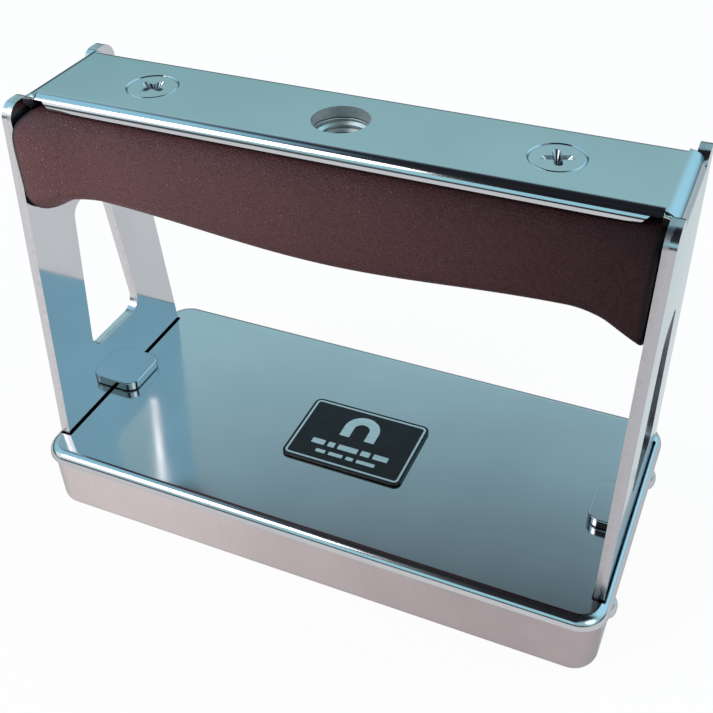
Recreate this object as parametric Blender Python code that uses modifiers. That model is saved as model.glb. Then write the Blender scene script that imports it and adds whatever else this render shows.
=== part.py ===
"""Hand-held magnetic pick-up tool: a magnet box with a lift-to-release handle frame.

Units are metres, +Z is up, X runs along the grip and Y across it.  The origin is the
centre of the box's underside.  The box (pan, lid and rivets) stays put, and the
handle frame slides up through the lid's slots, taking yoke and magnets with it.
"""

import math

import bmesh
import bpy
from mathutils import Matrix, Vector

# ---- driving dimensions -------------------------------------------------------------
TOUCH = 0.0003  # clearance between two pieces that rest against each other
OVERRUN = 0.0100  # how far a cutter runs past what it cuts

LID_LENGTH = 0.191
LID_WIDTH = 0.091
LID_TOP = 0.0254
LID_SHEET = 0.0010
LID_FLANGE = 0.0040  # height of the down-turned edge, deck included
LID_CORNER = 0.0090  # plan radius of the corners
LID_BEND = 0.0022  # outer radius between deck and flange
LID_INNER_BEND = 0.0003

PAN_SHEET = 0.0008
PAN_BOTTOM_RADIUS = 0.0040

FRAME_TOP = 0.1410
FRAME_SHEET = 0.0032
FRAME_BEND = 0.0050  # outer radius between arm and top plate
ARM_OUTER = 0.0931  # from the centre to an arm's outer face
ARM_FOOT = 0.0042  # height of an arm's lower end
ARM_BASE_HALF = 0.0352  # half width of an arm from its foot to the lid
ARM_TOP_HALF = 0.0255  # at the start of the bend
EAR_RADIUS = 0.0055  # an arm's upper outer corner
EAR_INNER_RADIUS = 0.0022  # the ear's corner beside the bend
EAR_START = 0.0178  # the ears stand upright beyond this, clear of the bend
EAR_ROOT = 0.0080  # how far an ear reaches down into the arm
BEND_HALF = 0.0170  # half width of the bend between the ears
SHOULDER = 0.0010  # the arm's full width ends this far below the bend
TOP_HALF = 0.0174  # half width of the top plate over its rolled edges
ROLL_RADIUS = 0.0035
ROLL_HEIGHT = 0.0038
ROLL_END = 0.0825  # the rolled edges stop here, short of the ears
RELIEF_HALF = 0.0158  # half width of the top plate beside the ears

WINDOW_BOTTOM = 0.0460
WINDOW_TOP = 0.1000
WINDOW_BOTTOM_HALF = 0.0142
WINDOW_TOP_HALF = 0.0084
WINDOW_RADIUS = 0.0050

LUG_REACH = 0.0100  # from the arm's inner face
LUG_HALF = 0.0092
LUG_RADIUS = 0.0040

TRAVEL = 0.0060  # how far the frame lifts
RIVET_Y = 0.0280
RIVET_Z = 0.0150
RIVET_SHANK = 0.0020  # radii
RIVET_HEAD = 0.0034
RIVET_HEAD_HEIGHT = 0.0020
RIVET_TAIL = 0.0030
RIVET_TAIL_HEIGHT = 0.0012

YOKE_SHEET = 0.0032
YOKE_BOTTOM = 0.0114
YOKE_HALF_WIDTH = 0.0405
TENON_Y = 0.0180
TENON_HALF = 0.0040

MAGNET_SIZE = (0.0400, 0.0360, 0.0098)
MAGNET_PITCH = (0.0420, 0.0390)
MAGNET_COLUMNS = 4
MAGNET_ROWS = 2

SCREW_X = 0.0588
SCREW_HEAD = 0.0074  # radii
SCREW_SHANK = 0.0037
SCREW_LENGTH = 0.0160
SCREW_RECESS = 0.0036  # reach of one arm of the cross
POLE_HOLE = 0.0081  # clearance hole in the top plate
POLE_THREAD = 0.0070  # minor radius of the M16 thread in the core

CORE_HALF_LENGTH = 0.0800
CORE_HALF_WIDTH = 0.0120
CORE_HEIGHT = 0.0120

GRIP_HALF_LENGTH = 0.0895
GRIP_TOP = FRAME_TOP - ROLL_HEIGHT - TOUCH
GRIP_MIDDLE_Z = 0.1182  # height at which a section is widest
GRIP_BELLY_Z = 0.1013
GRIP_NECK_Z = 0.1079
GRIP_END_Z = 0.1020
GRIP_NECK_X = 0.0785
GRIP_DROP_POWER = 1.3  # how sharply the underside drops from the neck to the end
GRIP_FLARE_X = 0.0690  # the grip widens from here to its ends
GRIP_HALF_WIDTH = 0.0220
GRIP_END_HALF_WIDTH = 0.0284
GRIP_EDGE_RADIUS = 0.0015
GRIP_SQUARENESS_ABOVE = 4.5  # superellipse powers: 2 is an oval, more is boxier
GRIP_SQUARENESS_BELOW = 2.5

PLATE_SIZE = (0.0420, 0.0292, 0.0008)
PLATE_CENTRE = (0.0020, -0.0020)
PLATE_RADIUS = 0.0025

# ---- sizes that follow --------------------------------------------------------------
ARM_INNER = ARM_OUTER - FRAME_SHEET
FRAME_UNDERSIDE = FRAME_TOP - FRAME_SHEET
LID_INNER_LENGTH = LID_LENGTH - 2 * LID_SHEET
LID_INNER_WIDTH = LID_WIDTH - 2 * LID_SHEET
PAN_LENGTH = LID_INNER_LENGTH - 2 * TOUCH
PAN_WIDTH = LID_INNER_WIDTH - 2 * TOUCH
PAN_CORNER = LID_CORNER - LID_SHEET - TOUCH
PAN_TOP = LID_TOP - LID_SHEET - TOUCH
LUG_BOTTOM = LID_TOP + TOUCH
CORE_TOP = FRAME_UNDERSIDE - TOUCH
CORE_BOTTOM = CORE_TOP - CORE_HEIGHT
SLOT_INNER = ARM_INNER - 0.0009  # the lid's slots, with running clearance round an arm
SLOT_OUTER = ARM_OUTER + 0.0006
SLOT_HALF = ARM_BASE_HALF + 0.0007

STEEL = ("zinc_steel", (0.52, 0.62, 0.65), 0.16, 1.0)
STAINLESS = ("stainless", (0.66, 0.62, 0.62), 0.32, 1.0)
LEATHERETTE = ("grip_vinyl", (0.10, 0.045, 0.048), 0.48, 0.0)
CORE_STEEL = ("core_steel", (0.40, 0.40, 0.42), 0.45, 1.0)
YOKE_STEEL = ("yoke_steel", (0.34, 0.35, 0.37), 0.40, 1.0)
FERRITE = ("ferrite", (0.045, 0.045, 0.050), 0.70, 0.0)
PLATE_INK = ("name_plate", (0.018, 0.018, 0.022), 0.35, 0.4)


# ---- helpers ------------------------------------------------------------------------
def clear_scene():
    for item in list(bpy.data.objects):
        bpy.data.objects.remove(item, do_unlink=True)


def new_collection(name, hidden=False):
    collection = bpy.data.collections.new(name)
    bpy.context.scene.collection.children.link(collection)
    collection.hide_render = hidden
    return collection


def material(finish):
    name, colour, roughness, metallic = finish
    made = bpy.data.materials.get(name)
    if made is None:
        made = bpy.data.materials.new(name)
        made.use_nodes = True
        shader = made.node_tree.nodes["Principled BSDF"]
        shader.inputs["Base Color"].default_value = (*colour, 1.0)
        shader.inputs["Roughness"].default_value = roughness
        shader.inputs["Metallic"].default_value = metallic
        made.diffuse_color = (*colour, 1.0)
    return made


def add_object(name, mesh, finish=None):
    """A visible piece if it has a finish, otherwise a cutter."""
    made = bpy.data.objects.new(name, mesh)
    if finish is None:
        CUTTERS.objects.link(made)
        made.hide_render = True
        made.display_type = "WIRE"
    else:
        PIECES.objects.link(made)
        mesh.materials.append(material(finish))
    return made


def box(name, low, high, finish=None):
    mesh = bpy.data.meshes.new(name)
    shape = bmesh.new()
    bmesh.ops.create_cube(shape, size=1.0)
    size = Vector(high) - Vector(low)
    centre = (Vector(high) + Vector(low)) / 2
    bmesh.ops.transform(
        shape, matrix=Matrix.Translation(centre) @ Matrix.Diagonal((*size, 1.0)), verts=shape.verts
    )
    shape.to_mesh(mesh)
    shape.free()
    return add_object(name, mesh, finish)


def cylinder(name, start, end, radius, end_radius=None):
    """A round cutter, straight or tapered, between two points."""
    start = Vector(start)
    along = Vector(end) - start
    mesh = bpy.data.meshes.new(name)
    shape = bmesh.new()
    bmesh.ops.create_cone(
        shape,
        cap_ends=True,
        segments=40,
        radius1=radius,
        radius2=radius if end_radius is None else end_radius,
        depth=along.length,
    )
    turn = Vector((0, 0, 1)).rotation_difference(along).to_matrix().to_4x4()
    place = Matrix.Translation(start + along / 2) @ turn
    bmesh.ops.transform(shape, matrix=place, verts=shape.verts)
    shape.to_mesh(mesh)
    shape.free()
    return add_object(name, mesh)


def rounded(corners, steps=6):
    """Points of a closed outline, given as (u, v, radius) corners."""
    points = []
    count = len(corners)
    for index, (u, v, radius) in enumerate(corners):
        corner = Vector((u, v))
        if radius == 0:
            points.append(corner)
            continue
        before = (Vector(corners[index - 1][:2]) - corner).normalized()
        after = (Vector(corners[(index + 1) % count][:2]) - corner).normalized()
        half_angle = before.angle(after) / 2
        centre = corner + (before + after).normalized() * (radius / math.sin(half_angle))
        reach = radius / math.tan(half_angle)
        first = corner + before * reach - centre
        last = corner + after * reach - centre
        sweep = first.angle_signed(last)
        for step in range(steps + 1):
            points.append(centre + Matrix.Rotation(-sweep * step / steps, 2) @ first)
    return points


def rectangle(half_u, half_v, radius):
    return [
        (-half_u, -half_v, radius),
        (half_u, -half_v, radius),
        (half_u, half_v, radius),
        (-half_u, half_v, radius),
    ]


LYING = Matrix.Identity(4)  # outline (u, v) lies in X and Y, thickness along Z
FACING_X = Matrix(((0, 0, 1, 0), (1, 0, 0, 0), (0, 1, 0, 0), (0, 0, 0, 1)))  # (u, v) is (Y, Z)


def flat_piece(name, outline, thickness, turn, centre=(0, 0, 0), finish=None):
    """A flat outline, filled and given its thickness."""
    curve = bpy.data.curves.new(name, "CURVE")
    curve.dimensions = "2D"
    curve.fill_mode = "BOTH"
    curve.extrude = thickness / 2
    points = rounded(outline)
    spline = curve.splines.new("POLY")
    spline.points.add(len(points) - 1)
    for target, point in zip(spline.points, points):
        target.co = (point[0], point[1], 0.0, 1.0)
    spline.use_cyclic_u = True
    drawn = bpy.data.objects.new(name + "_outline", curve)
    bpy.context.scene.collection.objects.link(drawn)
    graph = bpy.context.evaluated_depsgraph_get()
    mesh = bpy.data.meshes.new_from_object(drawn.evaluated_get(graph))
    bpy.data.objects.remove(drawn, do_unlink=True)
    shape = bmesh.new()
    shape.from_mesh(mesh)
    bmesh.ops.remove_doubles(shape, verts=shape.verts, dist=1e-6)
    bmesh.ops.transform(shape, matrix=Matrix.Translation(centre) @ turn, verts=shape.verts)
    bmesh.ops.recalc_face_normals(shape, faces=shape.faces)
    shape.to_mesh(mesh)
    shape.free()
    mesh.materials.clear()
    return add_object(name, mesh, finish)


def tray(name, length, width, corner, low, high, edge_radius, round_top, finish=None):
    """A rounded block whose bottom (or top) edge is rounded too."""
    mesh = bpy.data.meshes.new(name)
    shape = bmesh.new()
    bmesh.ops.create_cube(shape, size=1.0)
    size = Matrix.Diagonal((length, width, high - low, 1.0))
    place = Matrix.Translation((0, 0, (low + high) / 2))
    bmesh.ops.transform(shape, matrix=place @ size, verts=shape.verts)
    upright = [edge for edge in shape.edges if abs(edge.verts[0].co.z - edge.verts[1].co.z) > 1e-6]
    bmesh.ops.bevel(shape, geom=upright, offset=corner, segments=8, profile=0.5, affect="EDGES")
    level = high if round_top else low
    rim = [edge for edge in shape.edges if all(abs(v.co.z - level) < 1e-6 for v in edge.verts)]
    bmesh.ops.bevel(shape, geom=rim, offset=edge_radius, segments=4, profile=0.5, affect="EDGES")
    shape.to_mesh(mesh)
    shape.free()
    return add_object(name, mesh, finish)


def turned(name, profile, place, finish, steps=32):
    """A profile of (radius, height) points, running down its outer side, spun round Z."""
    mesh = bpy.data.meshes.new(name)
    shape = bmesh.new()
    verts = [shape.verts.new((radius, 0.0, height)) for radius, height in profile]
    for first, second in zip(verts, verts[1:]):
        shape.edges.new((first, second))
    shape.to_mesh(mesh)
    shape.free()
    made = add_object(name, mesh, finish)
    spin = made.modifiers.new("spin", "SCREW")
    spin.steps = steps
    spin.render_steps = steps
    spin.use_merge_vertices = True
    spin.merge_threshold = 0.00001
    spin.use_smooth_shade = True
    made.matrix_world = place
    return made


def combine(target, other, operation):
    modifier = target.modifiers.new(f"{operation.lower()} {other.name}", "BOOLEAN")
    modifier.operation = operation
    modifier.solver = "EXACT"
    modifier.object = other


def cut(target, *cutters):
    for cutter in cutters:
        combine(target, cutter, "DIFFERENCE")


def smooth(made, angle=35):
    made.data.shade_smooth()
    made.data.set_sharp_from_angle(angle=math.radians(angle))


# ---- the box: pan, lid, rivets and name plate ---------------------------------------
def make_pan():
    pan = tray(
        "pan", PAN_LENGTH, PAN_WIDTH, PAN_CORNER, 0.0, PAN_TOP, PAN_BOTTOM_RADIUS, False, STAINLESS
    )
    hollow = tray(
        "pan_hollow",
        PAN_LENGTH - 2 * PAN_SHEET,
        PAN_WIDTH - 2 * PAN_SHEET,
        PAN_CORNER - PAN_SHEET,
        PAN_SHEET,
        PAN_TOP + OVERRUN,
        PAN_BOTTOM_RADIUS - PAN_SHEET,
        False,
    )
    cut(pan, hollow)
    for index, y in enumerate((-RIVET_Y, RIVET_Y)):
        reach = LID_LENGTH
        hole = cylinder(
            f"pan_rivet_hole_{index}", (-reach, y, RIVET_Z), (reach, y, RIVET_Z), RIVET_SHANK + TOUCH
        )
        cut(pan, hole)


def make_lid():
    bottom = LID_TOP - LID_FLANGE
    lid = tray("lid", LID_LENGTH, LID_WIDTH, LID_CORNER, bottom, LID_TOP, LID_BEND, True, STEEL)
    hollow = tray(
        "lid_hollow",
        LID_INNER_LENGTH,
        LID_INNER_WIDTH,
        LID_CORNER - LID_SHEET,
        bottom - OVERRUN,
        LID_TOP - LID_SHEET,
        LID_INNER_BEND,
        True,
    )
    cut(lid, hollow)
    for side in (-1, 1):
        ends = sorted((side * SLOT_INNER, side * SLOT_OUTER))
        low = (ends[0], -SLOT_HALF, LID_TOP - 2 * LID_SHEET)
        high = (ends[1], SLOT_HALF, LID_TOP + OVERRUN)
        cut(lid, box(f"lid_slot_{side}", low, high))


def make_rivet(name, side, y):
    """A shouldered rivet: dome outside the pan, shank through the arm's slot, tail inside."""
    dome = [(0.0, RIVET_HEAD_HEIGHT)]
    for step in range(1, 7):
        angle = math.radians(15 * step)
        dome.append((RIVET_HEAD * math.sin(angle), RIVET_HEAD_HEIGHT * math.cos(angle)))
    head_face = PAN_LENGTH / 2 + TOUCH
    tail_face = ARM_INNER - TOUCH - head_face
    profile = dome + [
        (RIVET_SHANK, 0.0),
        (RIVET_SHANK, tail_face),
        (RIVET_TAIL, tail_face),
        (RIVET_TAIL, tail_face - RIVET_TAIL_HEIGHT),
        (0.0, tail_face - RIVET_TAIL_HEIGHT),
    ]
    outward = Matrix.Rotation(math.radians(90 * side), 4, "Y")
    turned(name, profile, Matrix.Translation((side * head_face, y, RIVET_Z)) @ outward, STEEL, 28)


def make_name_plate():
    outline = rectangle(PLATE_SIZE[0] / 2, PLATE_SIZE[1] / 2, PLATE_RADIUS)
    height = LID_TOP + TOUCH + PLATE_SIZE[2] / 2
    flat_piece("name_plate", outline, PLATE_SIZE[2], LYING, (*PLATE_CENTRE, height), PLATE_INK)


# ---- the handle frame ---------------------------------------------------------------
def strip_stations():
    """Half of the bent strip, foot to middle: outer point, inner point and half width."""
    bend_x = ARM_OUTER - FRAME_BEND
    bend_z = FRAME_TOP - FRAME_BEND
    inner_bend = FRAME_BEND - FRAME_SHEET
    shoulder = bend_z - SHOULDER
    stations = [
        ((ARM_OUTER, ARM_FOOT), (ARM_INNER, ARM_FOOT), ARM_BASE_HALF),
        ((ARM_OUTER, LID_TOP), (ARM_INNER, LID_TOP), ARM_BASE_HALF),
        ((ARM_OUTER, shoulder), (ARM_INNER, shoulder), ARM_TOP_HALF),
        ((ARM_OUTER, shoulder), (ARM_INNER, shoulder), BEND_HALF),
    ]
    steps = 8
    for step in range(steps + 1):
        angle = math.radians(90 * step / steps)
        across, up = math.cos(angle), math.sin(angle)
        outer = (bend_x + FRAME_BEND * across, bend_z + FRAME_BEND * up)
        inner = (bend_x + inner_bend * across, bend_z + inner_bend * up)
        stations.append((outer, inner, BEND_HALF))
    stations.append(((bend_x, FRAME_TOP), (bend_x, FRAME_UNDERSIDE), RELIEF_HALF))
    return stations


def make_handle_frame():
    """One strip: foot, arm, bend, top plate, bend, arm, foot, then its edges and holes."""
    half = strip_stations()
    whole = [(1, *station) for station in half] + [(-1, *station) for station in reversed(half)]
    shape = bmesh.new()
    rings = []
    for side, outer, inner, half_width in whole:
        corners = ((outer, -1), (outer, 1), (inner, 1), (inner, -1))
        rings.append(
            [shape.verts.new((side * x, edge * half_width, z)) for (x, z), edge in corners]
        )
    for ring, following in zip(rings, rings[1:]):
        for index in range(4):
            after = (index + 1) % 4
            shape.faces.new((ring[index], ring[after], following[after], following[index]))
    shape.faces.new(rings[0])
    shape.faces.new(rings[-1])
    bmesh.ops.dissolve_degenerate(shape, edges=shape.edges, dist=1e-7)
    bmesh.ops.recalc_face_normals(shape, faces=shape.faces)
    mesh = bpy.data.meshes.new("handle_frame")
    shape.to_mesh(mesh)
    shape.free()
    frame = add_object("handle_frame", mesh, STEEL)
    for side in (-1, 1):
        combine(frame, rolled_edge(side), "UNION")
        combine(frame, lug(side), "UNION")
        for edge in (-1, 1):
            combine(frame, ear(side, edge), "UNION")
    cut(frame, arm_windows(), *guide_slots(), *tenon_slots(), lance_holes(), *top_holes())
    smooth(frame)


def ear(side, edge):
    """The arm's upper corner, which stays upright beside the bend."""
    root = FRAME_TOP - FRAME_BEND - EAR_ROOT
    outline = [
        (edge * EAR_START, root, 0),
        (edge * ARM_TOP_HALF, root, 0),
        (edge * ARM_TOP_HALF, FRAME_TOP, EAR_RADIUS),
        (edge * EAR_START, FRAME_TOP, EAR_INNER_RADIUS),
    ]
    centre = (side * (ARM_INNER + FRAME_SHEET / 2), 0, 0)
    return flat_piece(f"ear_{side}_{edge}", outline, FRAME_SHEET, FACING_X, centre)


def rolled_edge(side):
    """The top plate's long edge, rolled down; it overlaps the plate's flat part."""
    inner = RELIEF_HALF - 0.0012
    lower = FRAME_TOP - ROLL_HEIGHT
    profile = [
        (side * inner, FRAME_UNDERSIDE, 0),
        (side * (TOP_HALF - FRAME_SHEET + 0.0004), FRAME_UNDERSIDE, 0),
        (side * (TOP_HALF - FRAME_SHEET + 0.0010), lower, 0),
        (side * TOP_HALF, lower, 0),
        (side * TOP_HALF, FRAME_TOP, ROLL_RADIUS),
        (side * inner, FRAME_TOP, 0),
    ]
    return flat_piece(f"rolled_edge_{side}", profile, 2 * ROLL_END, FACING_X)


def lug(side):
    """A stop lug bent inward from the arm, just above the lid."""
    root = side * (ARM_INNER + FRAME_SHEET / 2)
    tip = side * (ARM_INNER - LUG_REACH)
    outline = [
        (root, -LUG_HALF, 0),
        (tip, -LUG_HALF, LUG_RADIUS),
        (tip, LUG_HALF, LUG_RADIUS),
        (root, LUG_HALF, 0),
    ]
    height = LUG_BOTTOM + FRAME_SHEET / 2
    return flat_piece(f"lug_{side}", outline, FRAME_SHEET, LYING, (0, 0, height))


def arm_windows():
    outline = [
        (-WINDOW_BOTTOM_HALF, WINDOW_BOTTOM, WINDOW_RADIUS),
        (WINDOW_BOTTOM_HALF, WINDOW_BOTTOM, WINDOW_RADIUS),
        (WINDOW_TOP_HALF, WINDOW_TOP, WINDOW_RADIUS),
        (-WINDOW_TOP_HALF, WINDOW_TOP, WINDOW_RADIUS),
    ]
    return flat_piece("arm_windows", outline, 0.300, FACING_X)


def guide_slots():
    """Upright slots in the feet, in which the rivets run as the frame lifts."""
    radius = RIVET_SHANK + TOUCH
    corner = radius * 0.98  # just under a half circle, so that no two points meet
    cutters = []
    for index, y in enumerate((-RIVET_Y, RIVET_Y)):
        outline = [
            (y - radius, RIVET_Z - TRAVEL - radius, corner),
            (y + radius, RIVET_Z - TRAVEL - radius, corner),
            (y + radius, RIVET_Z + radius, corner),
            (y - radius, RIVET_Z + radius, corner),
        ]
        cutters.append(flat_piece(f"guide_slot_{index}", outline, 0.300, FACING_X))
    return cutters


def tenon_slots():
    cutters = []
    for index, y in enumerate((-TENON_Y, TENON_Y)):
        half = TENON_HALF + TOUCH
        low = (-0.150, y - half, YOKE_BOTTOM - TOUCH)
        high = (0.150, y + half, YOKE_BOTTOM + YOKE_SHEET + TOUCH)
        cutters.append(box(f"tenon_slot_{index}", low, high))
    return cutters


def lance_holes():
    """The openings left below the lugs by the metal that was bent up."""
    half = LUG_HALF + 0.0006
    depth = LUG_REACH - 0.0006
    return box("lance_holes", (-0.150, -half, LUG_BOTTOM - depth), (0.150, half, LUG_BOTTOM))


def top_holes():
    """Two countersinks for the grip's screws and the pole hole between them."""
    cutters = []
    rim = SCREW_HEAD + 0.0003
    above = 0.001
    for side in (-1, 1):
        x = side * SCREW_X
        depth = FRAME_SHEET + above
        start = (x, 0, FRAME_TOP + above)
        end = (x, 0, FRAME_TOP - depth)
        cutters.append(cylinder(f"countersink_{side}", start, end, rim + above, rim - depth))
    low = (0, 0, FRAME_TOP - OVERRUN)
    high = (0, 0, FRAME_TOP + OVERRUN)
    cutters.append(cylinder("pole_hole", low, high, POLE_HOLE))
    return cutters


# ---- the grip -----------------------------------------------------------------------
def ease(share):
    """Smooth step from 0 to 1 as share goes from 0 to 1."""
    share = min(max(share, 0.0), 1.0)
    return (1 - math.cos(math.pi * share)) / 2


def grip_section(x, steps=32):
    """Points round the grip at x: boxy above, oval below, rounded over at the end."""
    reach = abs(x)
    end = GRIP_HALF_LENGTH
    half_width = GRIP_HALF_WIDTH
    widening = ease((reach - GRIP_FLARE_X) / (end - GRIP_FLARE_X))
    half_width += (GRIP_END_HALF_WIDTH - GRIP_HALF_WIDTH) * widening
    bottom = GRIP_BELLY_Z + (GRIP_NECK_Z - GRIP_BELLY_Z) * ease(reach / GRIP_NECK_X)
    if reach > GRIP_NECK_X:
        share = (reach - GRIP_NECK_X) / (end - GRIP_NECK_X)
        bottom += (GRIP_END_Z - GRIP_NECK_Z) * share**GRIP_DROP_POWER
    into_edge = max(reach - (end - GRIP_EDGE_RADIUS), 0.0)
    inset = GRIP_EDGE_RADIUS - math.sqrt(max(GRIP_EDGE_RADIUS**2 - into_edge**2, 0.0))
    half_width -= inset
    bottom += inset
    top = GRIP_TOP - inset * 0.4
    points = []
    for step in range(steps):
        angle = 2 * math.pi * step / steps
        across = math.cos(angle)
        up = math.sin(angle)
        power = 2 / (GRIP_SQUARENESS_ABOVE if up > 0 else GRIP_SQUARENESS_BELOW)
        height = (top - GRIP_MIDDLE_Z) if up > 0 else (GRIP_MIDDLE_Z - bottom)
        y = half_width * math.copysign(abs(across) ** power, across)
        z = GRIP_MIDDLE_Z + height * math.copysign(abs(up) ** power, up)
        points.append((x, y, z))
    return points


def make_grip_cover():
    stations = [GRIP_HALF_LENGTH - GRIP_EDGE_RADIUS * share for share in (0.0, 0.08, 0.3, 0.6, 1.0)]
    plain = 9
    for step in range(1, plain + 1):
        stations.append((GRIP_HALF_LENGTH - GRIP_EDGE_RADIUS) * (1 - step / plain))
    stations = [-x for x in stations[:-1]] + [x for x in reversed(stations)]
    shape = bmesh.new()
    rings = [[shape.verts.new(point) for point in grip_section(x)] for x in stations]
    for ring, following in zip(rings, rings[1:]):
        for index in range(len(ring)):
            after = (index + 1) % len(ring)
            shape.faces.new((ring[index], ring[after], following[after], following[index]))
    shape.faces.new(rings[0])
    shape.faces.new(rings[-1])
    bmesh.ops.recalc_face_normals(shape, faces=shape.faces)
    mesh = bpy.data.meshes.new("grip_cover")
    shape.to_mesh(mesh)
    shape.free()
    cover = add_object("grip_cover", mesh, LEATHERETTE)
    length = CORE_HALF_LENGTH + TOUCH
    width = CORE_HALF_WIDTH + TOUCH
    seat = box(
        "grip_core_seat", (-length, -width, CORE_BOTTOM - TOUCH), (length, width, FRAME_TOP)
    )
    cut(cover, seat)
    for side in (-1, 1):
        x = side * SCREW_X
        clearance = cylinder(
            f"grip_screw_room_{side}",
            (x, 0, FRAME_TOP),
            (x, 0, FRAME_TOP - SCREW_LENGTH - 0.001),
            SCREW_SHANK + TOUCH,
        )
        cut(cover, clearance)
    smooth(cover, 50)


def make_grip_core():
    """The steel bar in the grip: two screw holes, and the pole thread between them."""
    low = (-CORE_HALF_LENGTH, -CORE_HALF_WIDTH, CORE_BOTTOM)
    high = (CORE_HALF_LENGTH, CORE_HALF_WIDTH, CORE_TOP)
    core = box("grip_core", low, high, CORE_STEEL)
    for name, x, radius in (
        ("core_hole_left", -SCREW_X, SCREW_SHANK + TOUCH),
        ("core_hole_pole", 0.0, POLE_THREAD),
        ("core_hole_right", SCREW_X, SCREW_SHANK + TOUCH),
    ):
        cut(core, cylinder(name, (x, 0, CORE_BOTTOM - 0.005), (x, 0, CORE_TOP + 0.005), radius))


def make_grip_screw(name, x):
    """A countersunk cross-recess screw, its head flush with the top plate."""
    cone = SCREW_HEAD - SCREW_SHANK
    profile = [
        (0.0, 0.0),
        (SCREW_HEAD, 0.0),
        (SCREW_SHANK, -cone),
        (SCREW_SHANK, -SCREW_LENGTH + 0.0008),
        (SCREW_SHANK - 0.0008, -SCREW_LENGTH),
        (0.0, -SCREW_LENGTH),
    ]
    head_top = FRAME_TOP - 0.00005
    screw = turned(name, profile, Matrix.Translation((x, 0, head_top)), STEEL)
    arm = SCREW_RECESS
    half = 0.00065
    for index, (u, v) in enumerate(((arm, half), (half, arm))):
        slot = box(
            f"{name}_recess_{index}",
            (x - u, -v, head_top - 0.0024),
            (x + u, v, head_top + 0.001),
        )
        cut(screw, slot)


# ---- the magnet carrier -------------------------------------------------------------
def make_yoke():
    """The steel back plate: tenons into the feet, notches that pass the rivets' tails."""
    half_length = ARM_INNER - TOUCH
    tip = ARM_OUTER - TOUCH
    notch = RIVET_TAIL + 0.0010
    notch_x = half_length - RIVET_TAIL_HEIGHT - 0.0012
    quarter = [
        (half_length, TENON_Y - TENON_HALF),
        (tip, TENON_Y - TENON_HALF),
        (tip, TENON_Y + TENON_HALF),
        (half_length, TENON_Y + TENON_HALF),
        (half_length, RIVET_Y - notch),
        (notch_x, RIVET_Y - notch),
        (notch_x, RIVET_Y + notch),
        (half_length, RIVET_Y + notch),
        (half_length, ARM_BASE_HALF),
        (half_length - 0.004, YOKE_HALF_WIDTH),
    ]
    outline = [(x, y, 0) for x, y in quarter]
    outline += [(-x, y, 0) for x, y in reversed(quarter)]
    outline += [(-x, -y, 0) for x, y in quarter]
    outline += [(x, -y, 0) for x, y in reversed(quarter)]
    height = YOKE_BOTTOM + YOKE_SHEET / 2
    flat_piece("yoke_plate", outline, YOKE_SHEET, LYING, (0, 0, height), YOKE_STEEL)


def make_magnets():
    top = YOKE_BOTTOM - TOUCH
    number = 1
    for row in range(MAGNET_ROWS):
        y = (row - (MAGNET_ROWS - 1) / 2) * MAGNET_PITCH[1]
        for column in range(MAGNET_COLUMNS):
            x = (column - (MAGNET_COLUMNS - 1) / 2) * MAGNET_PITCH[0]
            half_x, half_y = MAGNET_SIZE[0] / 2, MAGNET_SIZE[1] / 2
            block = box(
                f"magnet_{number}",
                (x - half_x, y - half_y, top - MAGNET_SIZE[2]),
                (x + half_x, y + half_y, top),
                FERRITE,
            )
            edges = block.modifiers.new("edges", "BEVEL")
            edges.width = 0.0006
            edges.segments = 1
            number += 1


def main():
    make_pan()
    make_lid()
    for end, side in (("left", -1), ("right", 1)):
        for place, y in (("front", -RIVET_Y), ("rear", RIVET_Y)):
            make_rivet(f"rivet_{end}_{place}", side, y)
    make_name_plate()
    make_handle_frame()
    make_grip_cover()
    make_grip_core()
    make_grip_screw("grip_screw_left", -SCREW_X)
    make_grip_screw("grip_screw_right", SCREW_X)
    make_yoke()
    make_magnets()


clear_scene()
PIECES = new_collection("magnetic_pick_up_tool")
CUTTERS = new_collection("cutters", hidden=True)
main()
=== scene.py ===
"""Looks of the magnetic pick-up tool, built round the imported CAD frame.

Metres, in the CAD's own frame: X along the grip, Y across it, Z up from the underside.
"""

import math

import bmesh
import bpy
from mathutils import Matrix, Vector


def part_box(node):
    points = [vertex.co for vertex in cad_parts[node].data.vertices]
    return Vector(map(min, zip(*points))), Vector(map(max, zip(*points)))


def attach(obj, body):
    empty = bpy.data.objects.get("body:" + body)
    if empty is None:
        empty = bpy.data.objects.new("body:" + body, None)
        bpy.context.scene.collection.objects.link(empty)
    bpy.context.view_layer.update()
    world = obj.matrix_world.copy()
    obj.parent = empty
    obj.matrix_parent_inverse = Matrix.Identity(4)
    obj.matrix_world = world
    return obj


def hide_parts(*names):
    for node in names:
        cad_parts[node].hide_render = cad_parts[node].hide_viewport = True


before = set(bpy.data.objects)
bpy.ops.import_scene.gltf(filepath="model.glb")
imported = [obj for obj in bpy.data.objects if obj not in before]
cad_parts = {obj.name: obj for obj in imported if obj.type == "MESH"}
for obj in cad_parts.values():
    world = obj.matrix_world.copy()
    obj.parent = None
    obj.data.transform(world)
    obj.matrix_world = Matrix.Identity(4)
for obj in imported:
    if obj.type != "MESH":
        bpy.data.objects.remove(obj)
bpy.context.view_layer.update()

MM = 0.001

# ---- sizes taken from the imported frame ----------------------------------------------
LID_LOW, LID_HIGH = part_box("lid")
PAN_LOW, PAN_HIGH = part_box("pan")
FRAME_LOW, FRAME_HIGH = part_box("handle_frame")
GRIP_LOW, GRIP_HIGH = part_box("grip_cover")
CORE_LOW, CORE_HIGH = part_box("grip_core")
PLATE_LOW, PLATE_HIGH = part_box("name_plate")
SCREW_LOW, SCREW_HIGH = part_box("grip_screw_right")

ARM_OUTER = FRAME_HIGH.x
ARM_BASE_HALF = FRAME_HIGH.y
FRAME_TOP = FRAME_HIGH.z
LID_TOP = LID_HIGH.z
SCREW_X = (SCREW_LOW.x + SCREW_HIGH.x) / 2
SCREW_HEAD = (SCREW_HIGH.x - SCREW_LOW.x) / 2

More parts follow.
